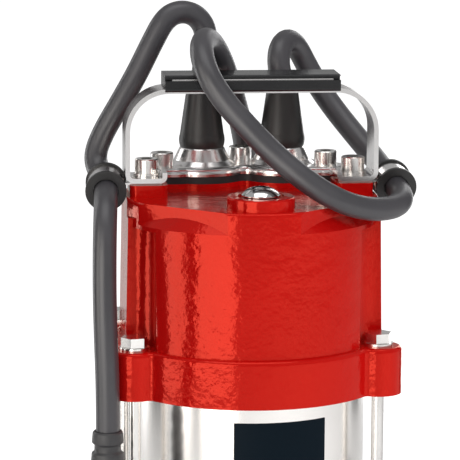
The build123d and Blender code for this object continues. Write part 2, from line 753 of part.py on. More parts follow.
with BuildPart() as impeller_nut:
    with BuildSketch(Plane.XY.offset(68)):
        RegularPolygon(9.5, 6, major_radius=False)
    extrude(amount=12)
    with BuildSketch(Plane.XY.offset(68)):
        Circle(6)
    extrude(amount=12, mode=Mode.SUBTRACT)
finish(impeller_nut.part, "impeller_nut")

with BuildPart() as cutter_blade:
    with BuildSketch(Plane.XY.offset(49)):
        Circle(12)
        with PolarLocations(0, 3):
            with Locations((16, 0)):
                Rectangle(26, 11)
    extrude(amount=5)
    with BuildSketch(Plane.XY.offset(49)):
        Circle(9)
    extrude(amount=19)
    with BuildSketch(Plane.XY.offset(58)):
        Circle(6)
    extrude(amount=10, mode=Mode.SUBTRACT)
finish(cutter_blade.part, "cutter_blade")

with BuildPart() as base_stand:
    with BuildSketch():
        Circle(STAND_R)
        Circle(62, mode=Mode.SUBTRACT)
    extrude(amount=8)
    with BuildSketch(Plane.XY.offset(50)):
        Circle(80)
        Circle(56, mode=Mode.SUBTRACT)
    extrude(amount=SUCTION_FOOT - 50)
    for turn in (45, 135, 225, 315):
        with BuildSketch(Plane.XY):
            leg_spot = (72 * math.cos(math.radians(turn)), 72 * math.sin(math.radians(turn)))
            with Locations(Location(leg_spot, turn)):
                RectangleRounded(14, 24, 3)
        extrude(amount=SUCTION_FOOT)
    with BuildSketch(Plane.XY.offset(50)):
        with PolarLocations(69, 4):
            Circle(3.2)
    extrude(amount=SUCTION_FOOT - 50, mode=Mode.SUBTRACT)
finish(base_stand.part, "base_stand")

with BuildPart() as bottom_screws:
    with BuildSketch(Plane.XY.offset(50)):
        with PolarLocations(69, 4):
            Circle(5)
    extrude(amount=-6)
    with BuildSketch(Plane.XY.offset(44)):
        with PolarLocations(69, 4):
            RegularPolygon(2.5, 6, major_radius=False)
    extrude(amount=3, mode=Mode.SUBTRACT)
    with BuildSketch(Plane.XY.offset(50)):
        with PolarLocations(69, 4):
            Circle(3)
    extrude(amount=24)
finish(bottom_screws.part, "bottom_screws")

# ---------------------------------------------------------------- outlet
with BuildPart() as outlet_gasket:
    with BuildSketch(Plane.YZ.offset(110)):
        with Locations((0, OUTLET_Z)):
            Circle(27)
            with Locations((-33, 0), (33, 0)):
                Circle(9)
            Rectangle(66, 18)
            Circle(OUTLET_BORE, mode=Mode.SUBTRACT)
            with Locations((-33, 0), (33, 0)):
                Circle(4.3, mode=Mode.SUBTRACT)
    extrude(amount=1)
finish(outlet_gasket.part, "outlet_gasket")

ELBOW_TOP = 196.0
with BuildPart() as outlet_elbow:
    with BuildLine() as bend:
        FilletPolyline((111, 0, OUTLET_Z), (OUTLET_X, 0, OUTLET_Z), (OUTLET_X, 0, ELBOW_TOP), radius=28)
    with BuildSketch(Plane(origin=bend.line @ 0, z_dir=bend.line % 0)):
        Circle(24)
    sweep()
    with BuildSketch(Plane.YZ.offset(111)):
        with Locations((0, OUTLET_Z)):
            Circle(27)
            with Locations((-33, 0), (33, 0)):
                Circle(9)
            Rectangle(66, 18)
    extrude(amount=8)
    with BuildSketch(Plane.XY.offset(ELBOW_TOP - 26)):
        with Locations((OUTLET_X, 0)):
            Circle(27)
    extrude(amount=26)
    with BuildSketch(Plane(origin=bend.line @ 0, z_dir=bend.line % 0)):
        Circle(OUTLET_BORE)
    sweep(path=bend.line, mode=Mode.SUBTRACT)
    with BuildSketch(Plane.YZ.offset(119)):
        with Locations((-33, OUTLET_Z), (33, OUTLET_Z)):
            Circle(4.4)
    extrude(amount=-8, mode=Mode.SUBTRACT)
finish(outlet_elbow.part, "outlet_elbow")

with BuildPart() as outlet_screws:
    with BuildSketch(Plane.YZ.offset(119)):
        with Locations((-33, OUTLET_Z), (33, OUTLET_Z)):
            RegularPolygon(6.5, 6, major_radius=False)
    extrude(amount=5.4)
    with BuildSketch(Plane.YZ.offset(119)):
        with Locations((-33, OUTLET_Z), (33, OUTLET_Z)):
            Circle(4)
    extrude(amount=-15)
finish(outlet_screws.part, "outlet_screws")

barbs = [(17, ELBOW_TOP), (25, ELBOW_TOP), (25, ELBOW_TOP + 6)]
for step in range(4):
    foot = ELBOW_TOP + 6 + 9 * step
    barbs += [(21.5, foot), (19.6, foot + 9)]
barbs += [(17, ELBOW_TOP + 42)]
with BuildPart() as hose_adapter:
    with BuildSketch(Plane.XZ):
        with BuildLine():
            Polyline(*[(OUTLET_X + radius, height) for radius, height in barbs], close=True)
        make_face()
    revolve(axis=Axis((OUTLET_X, 0, 0), (0, 0, 1)))
finish(hose_adapter.part, "hose_adapter")

# ---------------------------------------------------------------- float switch
RELIEF_TOP = FLANGE_Z - 15
FLOAT_TOP = RELIEF_TOP - 46
FLOAT_H = 78.0
float_spot = (-83.8, -54.2)
away = math.degrees(math.atan2(float_spot[1], float_spot[0]))
float_plane = Plane(
    origin=(float_spot[0], float_spot[1], FLOAT_TOP - FLOAT_H / 2),
    x_dir=(math.cos(math.radians(away)), math.sin(math.radians(away)), 0),
    z_dir=(0, 0, 1),
)
for name, keep in (("float_shell_front", Keep.TOP), ("float_shell_back", Keep.BOTTOM)):
    with BuildPart(float_plane) as shell:
        Box(30, 74, FLOAT_H)
        fillet(shell.edges().filter_by(Axis.Z), 12)
        fillet(shell.edges(), 7)
        Box(24, 68, FLOAT_H - 6, mode=Mode.SUBTRACT)
        split(bisect_by=Plane(origin=float_plane.origin, z_dir=float_plane.x_dir), keep=keep)
    finish(shell.part, name)
with BuildPart(float_plane) as float_microswitch:
    with Locations((0, -14, 12)):
        Box(24, 28, 18)
finish(float_microswitch.part, "float_microswitch")
with BuildPart(float_plane) as ball_tube:
    with Locations((0, 18, 4)):
        Cylinder(12, 48)
        Cylinder(9.5, 44, mode=Mode.SUBTRACT)
finish(ball_tube.part, "float_ball_tube")
with BuildPart(float_plane) as tilt_ball:
    with Locations((0, 18, -8.7)):
        Sphere(9)
finish(tilt_ball.part, "float_tilt_ball")

with BuildPart() as float_relief:
    with BuildSketch(Plane(origin=(-83, -53, RELIEF_TOP))):
        Circle(8)
    with BuildSketch(Plane(origin=(-83.8, -54.2, FLOAT_TOP))):
        Circle(10.5)
    loft()
finish(float_relief.part, "float_strain_relief")

# ---------------------------------------------------------------- cords
float_cord_route = [
    (-GLAND_X, GLAND_Y, BOOT_TOP),
    (-23, 40, 475),
    (-21.8, 40, 484),
    (-21, 40, 494.2),
    (-21.1, 40, 504.2),
    (-26.7, 39.3, 512),
    (-35.9, 38, 514.3),
    (-44.5, 36, 510.3),
    (-52.2, 33.5, 496.4),
    (-60.2, 31, 480),
    (-68.5, 28.5, 463),
    (-76.5, 26, 447),
    (-81.5, 22, 433),
    on_clip(-1, -25),
    on_clip(-1, 0),
]
finish(cord(float_cord_route, "float_cord_upper"), "float_cord_upper")

hanging_route = [
    on_clip(-1, 0.3),
    on_clip(-1, 14.3),
    (-83.2, -37.8, 406.5),
    (-84, -45, 390),
    (-84.3, -49, 368),
    (-83.8, -51.8, 343),
    (-83, -53, 319),
    (-83, -53, RELIEF_TOP),
]
finish(cord(hanging_route, "float_cord_hanging"), "float_cord_hanging")

mains_route = [
    (GLAND_X, GLAND_Y, BOOT_TOP),
    (23, 40, 473.5),
    (20.5, 40.3, 483.3),
    (22, 46, 492.3),
    (27.5, 55, 496.3),
    (34, 63.5, 491.8),
    (40.3, 66.3, 480),
    (47.5, 63, 467),
    (56, 55, 454.5),
    (65.3, 43.5, 442.5),
    (74.5, 29, 431),
    on_clip(1, -22),
    (80.6, -5.5, 420.7),
    on_clip(1, 17.5),
    (74, -43, 413.5),
    (57.0, -53.2, 414.8),
    (39.3, -58.4, 421.3),
    (22.1, -56.4, 432.5),
    (6.5, -50, 445.5),
    (-7.5, -45.5, 460),
    (-20, -40, 474),
    (-28.5, -33, 488.5),
    (-30, -20, 500.5),
    (-24.5, -2, 504),
    (-16, 16, 493),
    (-9, 30, 476.5),
    (-3, 45, 460.5),
    (3, 62, 442),
    (8, 82, 420),
    (12, 96, 391),
    (9, 101, 345),
    (-4, 102, 290),
    (-20, 102, 235),
    (-34, 101.5, 180),
    (-41, 101, 125),
    (-38, 101, 72),
    (-22, 100.5, 25),
    (8, 100.3, CORD_D / 2),
    (28, 100.2, CORD_D / 2),
]
finish(cord(mains_route, "mains_cord"), "mains_cord")

with BuildPart() as mains_coil:
    with BuildSketch(Plane(origin=(COIL_X, COIL_Y, 0))):
        Circle(COIL_OUTER)
        Circle(COIL_INNER, mode=Mode.SUBTRACT)
    extrude(amount=COIL_H)
    fillet(mains_coil.edges().filter_by(GeomType.CIRCLE), 6)
finish(mains_coil.part, "mains_cord_coil")

PLUG_Z = COIL_H + 18.6
PLUG_Y = 288.0
tail_route = [
    (122, 226, 46),
    (122, 250, 52),
    (117, 271, 62),
    (103, 285, PLUG_Z),
    (84, PLUG_Y, PLUG_Z),
]
finish(cord(tail_route, "mains_cord_tail"), "mains_cord_tail")
tail_end = Vector(*tail_route[-1])
heading = (tail_end - Vector(*tail_route[-2])).normalized()
plug_plane = Plane(origin=tail_end, z_dir=heading)
with BuildPart() as plug_body:
    with BuildSketch(plug_plane):
        Circle(8)
    with BuildSketch(plug_plane.offset(24)):
        Circle(10.5)
    loft()
    with BuildSketch(plug_plane.offset(24)):
        Circle(15)
    with BuildSketch(plug_plane.offset(38)):
        Circle(18.5)
    loft()
    with BuildSketch(plug_plane.offset(38)):
        Circle(18.5)
    extrude(amount=18)
finish(plug_body.part, "plug_body")
with BuildPart() as plug_pins:
    with BuildSketch(plug_plane.offset(56)):
        with Locations((0, -9.5), (0, 9.5)):
            Circle(2.4)
    extrude(amount=19)
    fillet(plug_pins.edges().filter_by(GeomType.CIRCLE), 1)
finish(plug_pins.part, "plug_pins")
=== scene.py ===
# %% [markdown]
# # A submersible dirty-water pump
# The CAD model is the fixed frame: every place comes from it, and Blender adds the looks. The first cell
# loads the frame.

import json
import math

import bmesh
import bpy
from mathutils import Matrix, Vector


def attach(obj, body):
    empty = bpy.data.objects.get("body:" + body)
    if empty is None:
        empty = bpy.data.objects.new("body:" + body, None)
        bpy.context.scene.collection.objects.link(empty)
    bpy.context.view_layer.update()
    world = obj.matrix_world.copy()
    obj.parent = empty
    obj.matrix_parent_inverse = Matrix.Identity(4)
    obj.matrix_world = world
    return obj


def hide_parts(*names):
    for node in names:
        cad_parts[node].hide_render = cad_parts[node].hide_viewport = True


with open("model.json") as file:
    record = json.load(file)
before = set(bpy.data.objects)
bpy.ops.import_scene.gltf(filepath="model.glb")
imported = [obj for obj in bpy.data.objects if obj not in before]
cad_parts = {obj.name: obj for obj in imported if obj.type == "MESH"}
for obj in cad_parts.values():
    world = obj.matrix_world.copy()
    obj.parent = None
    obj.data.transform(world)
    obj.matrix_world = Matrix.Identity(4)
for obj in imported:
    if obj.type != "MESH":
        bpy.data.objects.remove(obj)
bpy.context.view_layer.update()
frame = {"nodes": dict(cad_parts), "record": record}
scene = bpy.context.scene
nodes = frame["nodes"]

# %% [markdown]
# ## Camera
# A long lens from a little above the handle keeps the verticals straight. The camera is described by
# its turn round the pump, its height and its roll, which is easier to read than a matrix.

# %% Camera
MM = 0.001
AIM = Vector((0, 0, 0.400))
CAMERA_TURN = math.radians(-6.31)
CAMERA_RISE = math.radians(10.04)
CAMERA_ROLL = math.radians(0.29)
CAMERA_DISTANCE = 1.5
CAMERA_LENS = 210.1
SLIDE_RIGHT = -0.01095
SLIDE_UP = -0.00493


def camera_axes(turn, rise, roll):
    """Right, up and back directions of a camera turned round the pump."""
    back = Vector((math.sin(turn) * math.cos(rise), -math.cos(turn) * math.cos(rise), math.sin(rise)))
    level = Vector((math.cos(turn), math.sin(turn), 0))
    upright = back.cross(level)
    right = math.cos(roll) * level + math.sin(roll) * upright
    up = -math.sin(roll) * level + math.cos(roll) * upright
    return right, up, back


right, up, back = camera_axes(CAMERA_TURN, CAMERA_RISE, CAMERA_ROLL)
lens = bpy.data.cameras.new("camera")
lens.lens = CAMERA_LENS
lens.sensor_width = 36
lens.clip_end = 60
camera = bpy.data.objects.new("camera", lens)
camera.matrix_world = Matrix((right, up, back)).transposed().to_4x4()
camera.matrix_world.translation = AIM + back * CAMERA_DISTANCE + right * SLIDE_RIGHT + up * SLIDE_UP
scene.collection.objects.link(camera)
scene.camera = camera
scene.view_settings.view_transform = "Standard"
print("camera at", [round(value, 3) for value in camera.matrix_world.translation])

# %% [markdown]
# ## Cables
# Two heavy rubber cables leave the glands at the rear. Each is one smooth NURBS curve through the
# route that the CAD tube follows, because a sampled line would look like bent wire. The float cable
# stops at its clip and goes on as a second curve, which swings with the float. The mains cable runs
# down behind the pump into a neat coil, and the coil's turns are worked out by a loop.

# %% Cable helper
CORD_MM = 13
CORD_D = CORD_MM * MM
CLIP_FACE = Vector((81, -11, 419.5))  # near face of the right clip, on its bore
CLIP_YAW = math.radians(4)
CLIP_PITCH = math.radians(10)


def cable(name, points):
    """A round rubber cable along millimetre control points, with its radius held by the points."""
    curve = bpy.data.curves.new(name, "CURVE")
    curve.dimensions = "3D"
    spline = curve.splines.new("NURBS")
    spline.points.add(len(points) - 1)
    for target, point in zip(spline.points, points):
        target.co = (point[0] * MM, point[1] * MM, point[2] * MM, 1)
        target.radius = CORD_D / 2
    spline.order_u = 3
    spline.use_endpoint_u = True
    curve.resolution_u = 8
    curve.bevel_depth = 1
    curve.bevel_resolution = 8
    curve.use_fill_caps = True
    piece = bpy.data.objects.new(name, curve)
    scene.collection.objects.link(piece)
    return piece


def clip_axis(side):
    """Direction of a cable clip's bore, from its rear face to its near face."""
    level = math.cos(CLIP_PITCH)
    return Vector((side * math.sin(CLIP_YAW) * level, -math.cos(CLIP_YAW) * level, -math.sin(CLIP_PITCH)))


def on_clip(side, distance):
    """Point on a clip's bore in millimetres, at a distance in front of its near face."""
    return tuple(CLIP_FACE * Vector((side, 1, 1)) + clip_axis(side) * distance)


# %% Float cable
float_cable_route = [
    (-23, 40, 468),
    (-23, 40, 475),
    (-21.8, 40, 484),
    (-21, 40, 494.2),
    (-21.1, 40, 504.2),
    (-26.7, 39.3, 512),
    (-35.9, 38, 514.3),
    (-44.5, 36, 510.3),
    (-52.2, 33.5, 496.4),
    (-60.5, 31, 480),
    (-70.5, 28.5, 463),
    (-79.5, 27.5, 448),
    (-84.8, 25, 436),
    (-84, 19.5, 427.5),
    on_clip(-1, -22),
    on_clip(-1, -11),
    on_clip(-1, 0),
]
float_cable = cable("float_cable", float_cable_route)
hanging_cable_route = [
    on_clip(-1, 0.3),
    on_clip(-1, 14.3),
    (-83.2, -37.8, 406.5),
    (-84, -45, 390),
    (-84.3, -49, 368),
    (-83.8, -51.8, 343),
    (-83, -53, 319),
    (-83, -53, 295),
]
hanging_cable = cable("float_cable_hanging", hanging_cable_route)

# %% Mains cable with its coil
mains_route = [
    (23, 40, 468),
    (23, 40, 473.5),
    (20.5, 40.3, 483.3),
    (22, 46, 492.3),
    (27.5, 55, 496.3),
    (34, 63.5, 491.8),
    (40.3, 66.3, 480),
    (47.5, 63, 467),
    (56, 55, 454.5),
    (65.3, 43.5, 442.5),
    (74.5, 29, 431),
    on_clip(1, -22),
    (80.6, -5.5, 420.7),
    on_clip(1, 17.5),
    (74, -43, 413.5),
    (57.0, -53.2, 414.8),
    (39.3, -58.4, 421.3),
    (22.1, -56.4, 432.5),
    (6.5, -50, 445.5),
    (-7.5, -45.5, 460),
    (-20, -40, 474),
    (-28.5, -33, 488.5),
    (-30, -20, 500.5),
    (-24.5, -2, 504),
    (-16, 16, 493),
    (-9, 30, 476.5),
    (-3, 45, 460.5),
    (3, 62, 442),
    (8, 82, 420),
    (12, 96, 391),
    (9, 101, 345),
    (-4, 102, 290),
    (-20, 102, 235),
    (-34, 101.5, 180),
    (-41, 101, 125),
    (-38, 101, 72),
    (-22, 100.5, 25),
    (8, 100.3, 6.5),
    (28, 100.2, 6.5),
]
COIL_CENTRE = (27, 214.5)
COIL_OUTER_TURN = 114.5
COIL_TURNS = 14.25
POINTS_PER_TURN = 18
TURNS_PER_LAYER = 4


def step_over(part):
    """Goes from 0 to 1 over the last quarter of a turn."""
    share = max(0.0, (part - 0.75) / 0.25)
    return share * share * (3 - 2 * share)


def coil_point(turns):
    """Centre of the cable after that many turns: four side by side, then the next layer."""
    layer, place = divmod(turns, TURNS_PER_LAYER)
    whole = int(place)
    rise = step_over(place - whole) if whole == TURNS_PER_LAYER - 1 else 0
    moved = whole + (0 if whole == TURNS_PER_LAYER - 1 else step_over(place - whole))
    inward = moved if layer % 2 == 0 else TURNS_PER_LAYER - 1 - moved
    radius = COIL_OUTER_TURN - CORD_MM * inward
    angle = math.radians(-90 + 360 * turns)
    return (
        COIL_CENTRE[0] + radius * math.cos(angle),
        COIL_CENTRE[1] + radius * math.sin(angle),
        CORD_MM / 2 + CORD_MM * (layer + rise),
    )


coil = [coil_point(step / POINTS_PER_TURN) for step in range(1, int(COIL_TURNS * POINTS_PER_TURN) + 1)]
mains_tail = [(122, 226, 46), (122, 250, 52), (117, 271, 62), (103, 285, 70.6), (84, 288, 70.6)]
mains_cable = cable("mains_cable", mains_route + coil + mains_tail)
print("coil points", len(coil))


# %% Float strain relief
RELIEF_TOP = 295
RELIEF_DROP = 46
RELIEF_LEAN = (-0.8, -1.2)
RELIEF_STEPS = 96
# Heights are measured down from the top, with the radius at each.
relief_profile = [
    (0.0, 6.6),
    (0.0, 7.5),
    (0.9, 8.3),
    (6.3, 8.7),
    (7.6, 7.2),
    (11.0, 7.3),
    (12.2, 8.7),
    (17.0, 9.0),
    (17.2, 7.6),
    (21.2, 7.7),
    (21.4, 8.9),
    (23.6, 9.3),
    (25.4, 7.8),
    (28.6, 7.9),
    (29.8, 9.3),
    (34.4, 9.6),
    (34.6, 8.2),
    (38.4, 8.4),
    (38.6, 9.9),
    (45.9, 10.5),
    (46.0, 6.6),
]
relief_mesh = bpy.data.meshes.new("float_relief_ribbed")
shape = bmesh.new()
rows = []
for drop, radius in relief_profile:
    share = drop / RELIEF_DROP
    centre = Vector((-83 + RELIEF_LEAN[0] * share, -53 + RELIEF_LEAN[1] * share, RELIEF_TOP - drop))
    row = []
    for step in range(RELIEF_STEPS):
        angle = 2 * math.pi * step / RELIEF_STEPS
        reach = Vector((radius * math.cos(angle), radius * math.sin(angle), 0))
        row.append(shape.verts.new((centre + reach) * MM))
    rows.append(row)
for upper, lower in zip(rows, rows[1:] + rows[:1]):
    for step in range(RELIEF_STEPS):
        after = (step + 1) % RELIEF_STEPS
        shape.faces.new((upper[step], lower[step], lower[after], upper[after])).smooth = True
bmesh.ops.recalc_face_normals(shape, faces=shape.faces)
shape.to_mesh(relief_mesh)
shape.free()
relief = bpy.data.objects.new("float_relief_ribbed", relief_mesh)
scene.collection.objects.link(relief)
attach(relief, "float")
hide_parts("float_strain_relief")

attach(float_cable, "pump")
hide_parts("float_cord_upper")
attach(hanging_cable, "float")
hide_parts("float_cord_hanging")
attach(mains_cable, "pump")
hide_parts("mains_cord", "mains_cord_coil", "mains_cord_tail")

# %% [markdown]
# ## Studio
# A pale floor, a white surround and soft boxes. Shiny paint and steel show what stands round them, so
# the boxes are tall and narrow with gaps between, which gives the upright bands of light and dark.

# %% Floor and surround
floor_mesh = bpy.data.meshes.new("studio_floor")
shape = bmesh.new()
bmesh.ops.create_grid(shape, x_segments=1, y_segments=1, size=30)
shape.to_mesh(floor_mesh)
shape.free()
floor = bpy.data.objects.new("studio_floor", floor_mesh)
scene.collection.objects.link(floor)
floor_paint = bpy.data.materials.new("studio_floor_paint")
floor_paint.use_nodes = True
floor_shader = floor_paint.node_tree.nodes["Principled BSDF"]
floor_shader.inputs["Base Color"].default_value = (0.93, 0.93, 0.93, 1)
floor_shader.inputs["Roughness"].default_value = 0.9
floor_shader.inputs["Emission Color"].default_value = (1, 1, 1, 1)
floor_seen = floor_paint.node_tree.nodes.new("ShaderNodeLightPath")
floor_glow = floor_paint.node_tree.nodes.new("ShaderNodeMapRange")
floor_glow.inputs["To Min"].default_value = 0.15
floor_glow.inputs["To Max"].default_value = 0.75
floor_paint.node_tree.links.new(floor_seen.outputs["Is Camera Ray"], floor_glow.inputs["Value"])
floor_paint.node_tree.links.new(floor_glow.outputs["Result"], floor_shader.inputs["Emission Strength"])
floor_mesh.materials.append(floor_paint)

world = bpy.data.worlds.new("studio")
world.use_nodes = True
scene.world = world
links = world.node_tree.links
surround = world.node_tree.nodes["Background"]
surround.inputs["Color"].default_value = (1, 1, 1, 1)
is_camera = world.node_tree.nodes.new("ShaderNodeLightPath")
level = world.node_tree.nodes.new("ShaderNodeMapRange")
level.inputs["To Min"].default_value = 0.38
level.inputs["To Max"].default_value = 1.1
links.new(is_camera.outputs["Is Camera Ray"], level.inputs["Value"])
links.new(level.outputs["Result"], surround.inputs["Strength"])


# %% Soft boxes
def soft_box(name, turn, rise, distance, width, height, watts, colour=(1, 1, 1)):
    """An area light that faces the head from a turn round it, in degrees from the front."""
    light = bpy.data.lights.new(name, "AREA")
    light.shape = "RECTANGLE"
    light.size = width
    light.size_y = height
    light.energy = watts
    light.color = colour
    place = bpy.data.objects.new(name, light)
    side, upwards, outwards = camera_axes(math.radians(turn), math.radians(rise), 0)
    place.matrix_world = Matrix((side, upwards, outwards)).transposed().to_4x4()
    place.matrix_world.translation = AIM + outwards * distance
    scene.collection.objects.link(place)
    return place


def dark_card(name, turn, distance, width, height):
    """A black card that only reflections see."""
    card_mesh = bpy.data.meshes.new(name)
    side, upwards, outwards = camera_axes(math.radians(turn), 0, 0)
    middle = AIM + outwards * distance
    sheet = bmesh.new()
    corners = [
        sheet.verts.new(middle + side * (across * width / 2) + upwards * (up * height / 2))
        for across, up in ((-1, -1), (1, -1), (1, 1), (-1, 1))
    ]
    sheet.faces.new(corners)
    sheet.to_mesh(card_mesh)
    sheet.free()
    card_mesh.materials.append(card_black)
    card = bpy.data.objects.new(name, card_mesh)
    scene.collection.objects.link(card)
    card.visible_camera = False
    card.visible_diffuse = False
    card.visible_shadow = False


card_black = bpy.data.materials.new("card_black")
card_black.use_nodes = True
card_shader = card_black.node_tree.nodes["Principled BSDF"]
card_shader.inputs["Base Color"].default_value = (0.01, 0.01, 0.01, 1)
card_shader.inputs["Roughness"].default_value = 1.0
card_shader.inputs["Specular IOR Level"].default_value = 0.0

CARD_DISTANCE = 1.25
CARD_HEIGHT = 1.8

# The shine boxes only draw the long highlights on paint and steel; the fill boxes only add soft light.
shine_boxes = [
    soft_box("key_box", -36, 3, 1.3, 0.84, 1.4, 10.5, (1, 0.95, 0.89)),
    soft_box("side_box", -74, 3, 1.3, 0.45, 1.4, 5, (1, 0.95, 0.89)),
    soft_box("left_rim_box", -130, 3, 1.3, 0.32, 1.4, 3.8),
    soft_box("right_rim_box", 152, 3, 1.3, 0.29, 1.4, 3.2),
]
for box in shine_boxes:
    box.visible_diffuse = False
soft_box("top_box", -10, 78, 1.8, 1.6, 0.9, 8)
fill_boxes = [
    soft_box("fill_box", 36, 25, 2.4, 1.6, 1.6, 30),
    soft_box("left_fill_box", -52, 18, 2.4, 1.2, 1.6, 6),
]
for box in fill_boxes:
    box.visible_glossy = False
# The cards put dark bands beside the highlights.
for name, turn, width in (("left_card", -57, 0.19), ("far_left_card", -105, 0.5), ("right_card", 124, 0.4)):
    dark_card(name, turn, CARD_DISTANCE, width, CARD_HEIGHT)

# %% [markdown]
# ## Finishes
# Shared effects are node groups that put out heights and masks: orange peel for the sprayed paint, a
# fine grain for rubber and moulded plastic, and soft smudges for steel. The shader itself stays in
# each material, with its plain numbers on its own sockets.


# %% Shader helpers
def group_of(name, inputs, outputs):
    """A new shader node group with float inputs and the named outputs."""
    tree = bpy.data.node_groups.new(name, "ShaderNodeTree")
    for label, value in inputs.items():
        socket = tree.interface.new_socket(label, in_out="INPUT", socket_type="NodeSocketFloat")
        socket.default_value = value
    for label in outputs:
        tree.interface.new_socket(label, in_out="OUTPUT", socket_type="NodeSocketFloat")
    entry = tree.nodes.new("NodeGroupInput")
    leaving = tree.nodes.new("NodeGroupOutput")
    return tree, entry, leaving


def noise(tree, scale, detail, rough=0.5, distortion=0.0, coordinates=None):
    """A noise texture on Object coordinates."""
    texture = tree.nodes.new("ShaderNodeTexNoise")
    texture.inputs["Scale"].default_value = scale
    texture.inputs["Detail"].default_value = detail
    texture.inputs["Roughness"].default_value = rough
    texture.inputs["Distortion"].default_value = distortion
    if coordinates is None:
        place = tree.nodes.new("ShaderNodeTexCoord")
        coordinates = place.outputs["Object"]
    tree.links.new(coordinates, texture.inputs["Vector"])
    return texture


def math_node(tree, operation, first, second):
    """A math node whose inputs are sockets or numbers."""
    node = tree.nodes.new("ShaderNodeMath")
    node.operation = operation
    for socket, value in zip(node.inputs, (first, second)):
        if isinstance(value, (int, float)):
            socket.default_value = value
        else:
            tree.links.new(value, socket)
    return node.outputs["Value"]


# %% Shared effects
peel_tree, peel_in, peel_out = group_of("orange_peel", {"Fine": 0.35, "Wave": 1.0}, ["Height", "Patches"])
fine = noise(peel_tree, 420, 2)
wave = noise(peel_tree, 95, 2.5, 0.55, 0.3)
swell = noise(peel_tree, 24, 1)
patches = noise(peel_tree, 14, 3)
fine_part = math_node(peel_tree, "MULTIPLY", fine.outputs["Fac"], peel_in.outputs["Fine"])
wave_part = math_node(peel_tree, "MULTIPLY", wave.outputs["Fac"], peel_in.outputs["Wave"])
both = math_node(peel_tree, "ADD", fine_part, wave_part)
swell_part = math_node(peel_tree, "MULTIPLY", swell.outputs["Fac"], 1.6)
peel_tree.links.new(math_node(peel_tree, "ADD", both, swell_part), peel_out.inputs["Height"])
peel_tree.links.new(patches.outputs["Fac"], peel_out.inputs["Patches"])

grain_tree, grain_in, grain_out = group_of("fine_grain", {"Scale": 900.0}, ["Height", "Patches"])
speck = noise(grain_tree, 900, 3, 0.6)
grain_tree.links.new(grain_in.outputs["Scale"], speck.inputs["Scale"])
dull = noise(grain_tree, 30, 3)
grain_tree.links.new(speck.outputs["Fac"], grain_out.inputs["Height"])
grain_tree.links.new(dull.outputs["Fac"], grain_out.inputs["Patches"])

line_scales = {"Along": 6.0, "Across": 900.0}
brush_tree, brush_in, brush_out = group_of("drawn_lines", line_scales, ["Height", "Patches"])
place = brush_tree.nodes.new("ShaderNodeTexCoord")
stretch = brush_tree.nodes.new("ShaderNodeVectorMath")
stretch.operation = "MULTIPLY"
scales = brush_tree.nodes.new("ShaderNodeCombineXYZ")
brush_tree.links.new(brush_in.outputs["Along"], scales.inputs["X"])
brush_tree.links.new(brush_in.outputs["Along"], scales.inputs["Y"])
brush_tree.links.new(brush_in.outputs["Across"], scales.inputs["Z"])
brush_tree.links.new(place.outputs["Object"], stretch.inputs[0])
brush_tree.links.new(scales.outputs["Vector"], stretch.inputs[1])
lines = noise(brush_tree, 1, 3, 0.6, 0, stretch.outputs["Vector"])
smudge = noise(brush_tree, 22, 3)
brush_tree.links.new(lines.outputs["Fac"], brush_out.inputs["Height"])
brush_tree.links.new(smudge.outputs["Fac"], brush_out.inputs["Patches"])


# %% Material builder
def finish_of(
    name,
    colour,
    other=None,
    rough=(0.3, 0.4),
    metal=0.0,
    coat=0.0,
    coat_rough=0.05,
    specular=0.5,
    effect=None,
    settings=(),
    bump=0.1,
    bump_depth=0.0002,
):
    """A Principled material with two-tone colour, uneven roughness and a bump from a shared effect."""
    material = bpy.data.materials.new(name)
    material.use_nodes = True
    tree = material.node_tree
    shader = tree.nodes["Principled BSDF"]
    shader.inputs["Metallic"].default_value = metal
    shader.inputs["Coat Weight"].default_value = coat
    shader.inputs["Coat Roughness"].default_value = coat_rough
    shader.inputs["Specular IOR Level"].default_value = specular
    source = tree.nodes.new("ShaderNodeGroup")
    source.node_tree = effect or grain_tree
    for label, value in settings:
        source.inputs[label].default_value = value
    tones = tree.nodes.new("ShaderNodeMix")
    tones.data_type = "RGBA"
    tones.inputs["A"].default_value = (*colour, 1)
    tones.inputs["B"].default_value = (*(other or colour), 1)
    contrast = tree.nodes.new("ShaderNodeMapRange")
    contrast.inputs["From Min"].default_value = 0.35
    contrast.inputs["From Max"].default_value = 0.65
    tree.links.new(source.outputs["Patches"], contrast.inputs["Value"])
    tree.links.new(contrast.outputs["Result"], tones.inputs["Factor"])
    tree.links.new(tones.outputs["Result"], shader.inputs["Base Color"])
    uneven = tree.nodes.new("ShaderNodeMapRange")
    uneven.inputs["From Min"].default_value = 0.3
    uneven.inputs["From Max"].default_value = 0.7
    uneven.inputs["To Min"].default_value = rough[0]
    uneven.inputs["To Max"].default_value = rough[1]
    tree.links.new(source.outputs["Patches"], uneven.inputs["Value"])
    tree.links.new(uneven.outputs["Result"], shader.inputs["Roughness"])
    relief = tree.nodes.new("ShaderNodeBump")
    relief.inputs["Strength"].default_value = bump
    relief.inputs["Distance"].default_value = bump_depth
    tree.links.new(source.outputs["Height"], relief.inputs["Height"])
    tree.links.new(relief.outputs["Normal"], shader.inputs["Normal"])
    return material


